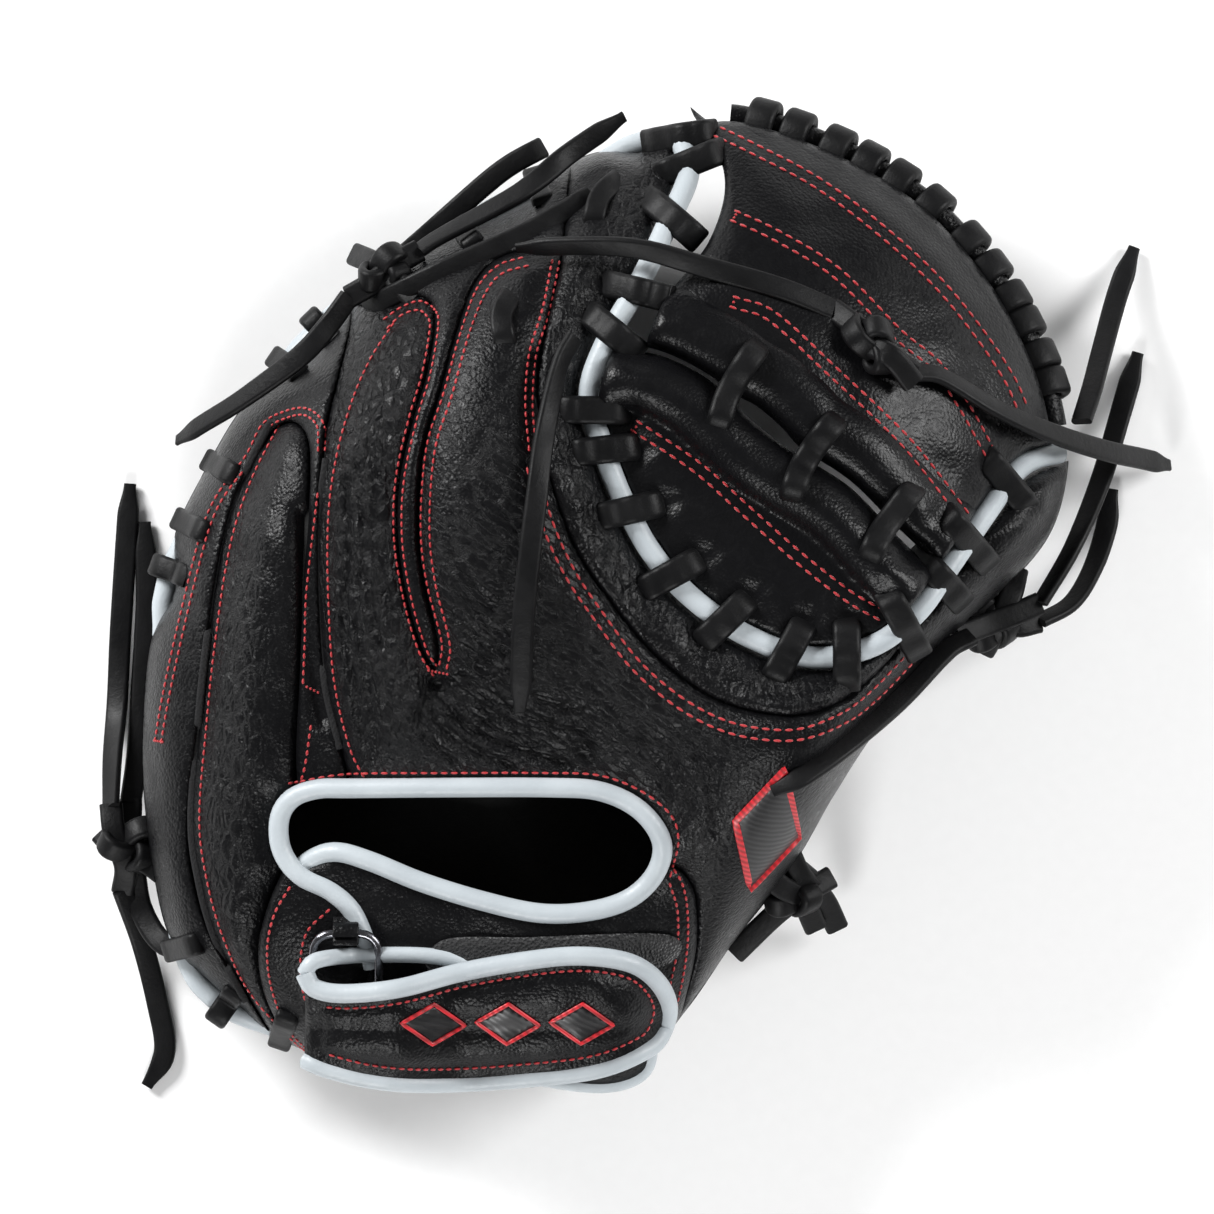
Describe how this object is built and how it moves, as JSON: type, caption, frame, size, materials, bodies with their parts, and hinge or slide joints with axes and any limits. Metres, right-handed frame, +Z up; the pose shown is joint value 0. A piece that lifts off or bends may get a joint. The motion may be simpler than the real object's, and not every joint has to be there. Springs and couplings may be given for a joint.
{
  "type": "catcher's mitt",
  "caption": "Black leather catcher's mitt for the left hand with grey piping, laced web, padded rim, finger stalls and wrist strap.",
  "frame": {"origin": "centre of the bounding box of the mitt without its free lace tails, at the surface it lies on", "axes": "+Z up out of the back of the mitt, +Y from the wrist to the finger tips, +X towards the thumb"},
  "size_m": [0.2982, 0.2689, 0.0991],
  "materials": {
    "black_leather": "pebbled full-grain leather, soft sheen",
    "palm_leather": "smooth firm palm leather",
    "rawhide_lace": "cut rawhide lace, waxed",
    "grey_piping": "smooth pale grey piping",
    "felt_padding": "pressed wool felt",
    "lining_leather": "soft matte lining",
    "hook_and_loop_tape": "fuzzy woven tape",
    "dark_nickel": "dark nickel plate"
  },
  "bodies": {
    "mitt_body": {"pinky_back": "black_leather", "ring_back": "black_leather", "middle_back": "black_leather", "hand_back": "black_leather", "crotch_roll": "black_leather", "wrist_base": "black_leather", "ring_tab_panel": "black_leather", "palm_shell": "palm_leather", "palm_pad": "felt_padding", "heel_pad": "felt_padding", "palm_lining": "lining_leather", "back_lining": "lining_leather", "pinky_stall_wall": "lining_leather", "ring_stall_wall": "lining_leather", "rim_welt": "grey_piping", "rim_lacing": "rawhide_lace", "crotch_welt": "grey_piping", "crotch_lacing": "rawhide_lace", "wrist_binding": "grey_piping", "web_edge_roll": "black_leather", "web_edge_lacing": "rawhide_lace", "web_band": "black_leather", "web_main_panel": "black_leather", "web_lower_panel": "black_leather", "web_spiral_lacing": "rawhide_lace", "loop_patch": "hook_and_loop_tape", "under_strap": "black_leather", "ring_tab": "black_leather", "index_knot": "rawhide_lace", "web_knot": "rawhide_lace", "pinky_knot": "rawhide_lace", "index_tail_down": "rawhide_lace", "index_tail_up": "rawhide_lace", "back_tail": "rawhide_lace", "web_tail_left": "rawhide_lace", "pinky_tail_outer": "rawhide_lace", "pinky_tail_inner": "rawhide_lace", "pinky_tail_low": "rawhide_lace"},
    "thumb_side": {"thumb_back": "black_leather", "thumb_palm_shell": "palm_leather", "thumb_palm_pad": "felt_padding", "thumb_rim_welt": "grey_piping", "thumb_crotch_welt": "grey_piping", "thumb_crotch_lacing": "rawhide_lace", "thumb_web_edge_roll": "black_leather", "thumb_web_edge_lacing": "rawhide_lace", "thumb_web_band": "black_leather", "thumb_web_main_panel": "black_leather", "thumb_web_lower_panel": "black_leather", "thumb_tip_knot": "rawhide_lace", "heel_knot": "rawhide_lace", "web_tail_right": "rawhide_lace", "thumb_tail_top": "rawhide_lace", "thumb_tail_long": "rawhide_lace", "thumb_tail_short": "rawhide_lace", "thumb_tail_back": "rawhide_lace"},
    "strap_flap": {"strap_flap": "black_leather", "hook_patch": "hook_and_loop_tape", "strap_binding": "grey_piping"},
    "d_ring": {"d_ring": "dark_nickel"}
  },
  "joints": [
    {"name": "pocket_close", "type": "hinge", "parent": "mitt_body", "child": "thumb_side", "pos_m": [0.023, -0.113, 0.045], "axis": [0.2886, 0.9575, 0], "range_deg": [0, 30]},
    {"name": "strap_peel", "type": "hinge", "parent": "mitt_body", "child": "strap_flap", "pos_m": [-0.082, -0.112, 0.064], "axis": [0, -1, 0], "range_deg": [0, 90]},
    {"name": "d_ring_swing", "type": "hinge", "parent": "mitt_body", "child": "d_ring", "pos_m": [-0.071, -0.092, 0.0665], "axis": [-1, 0, 0], "range_deg": [0, 6]}
  ]
}
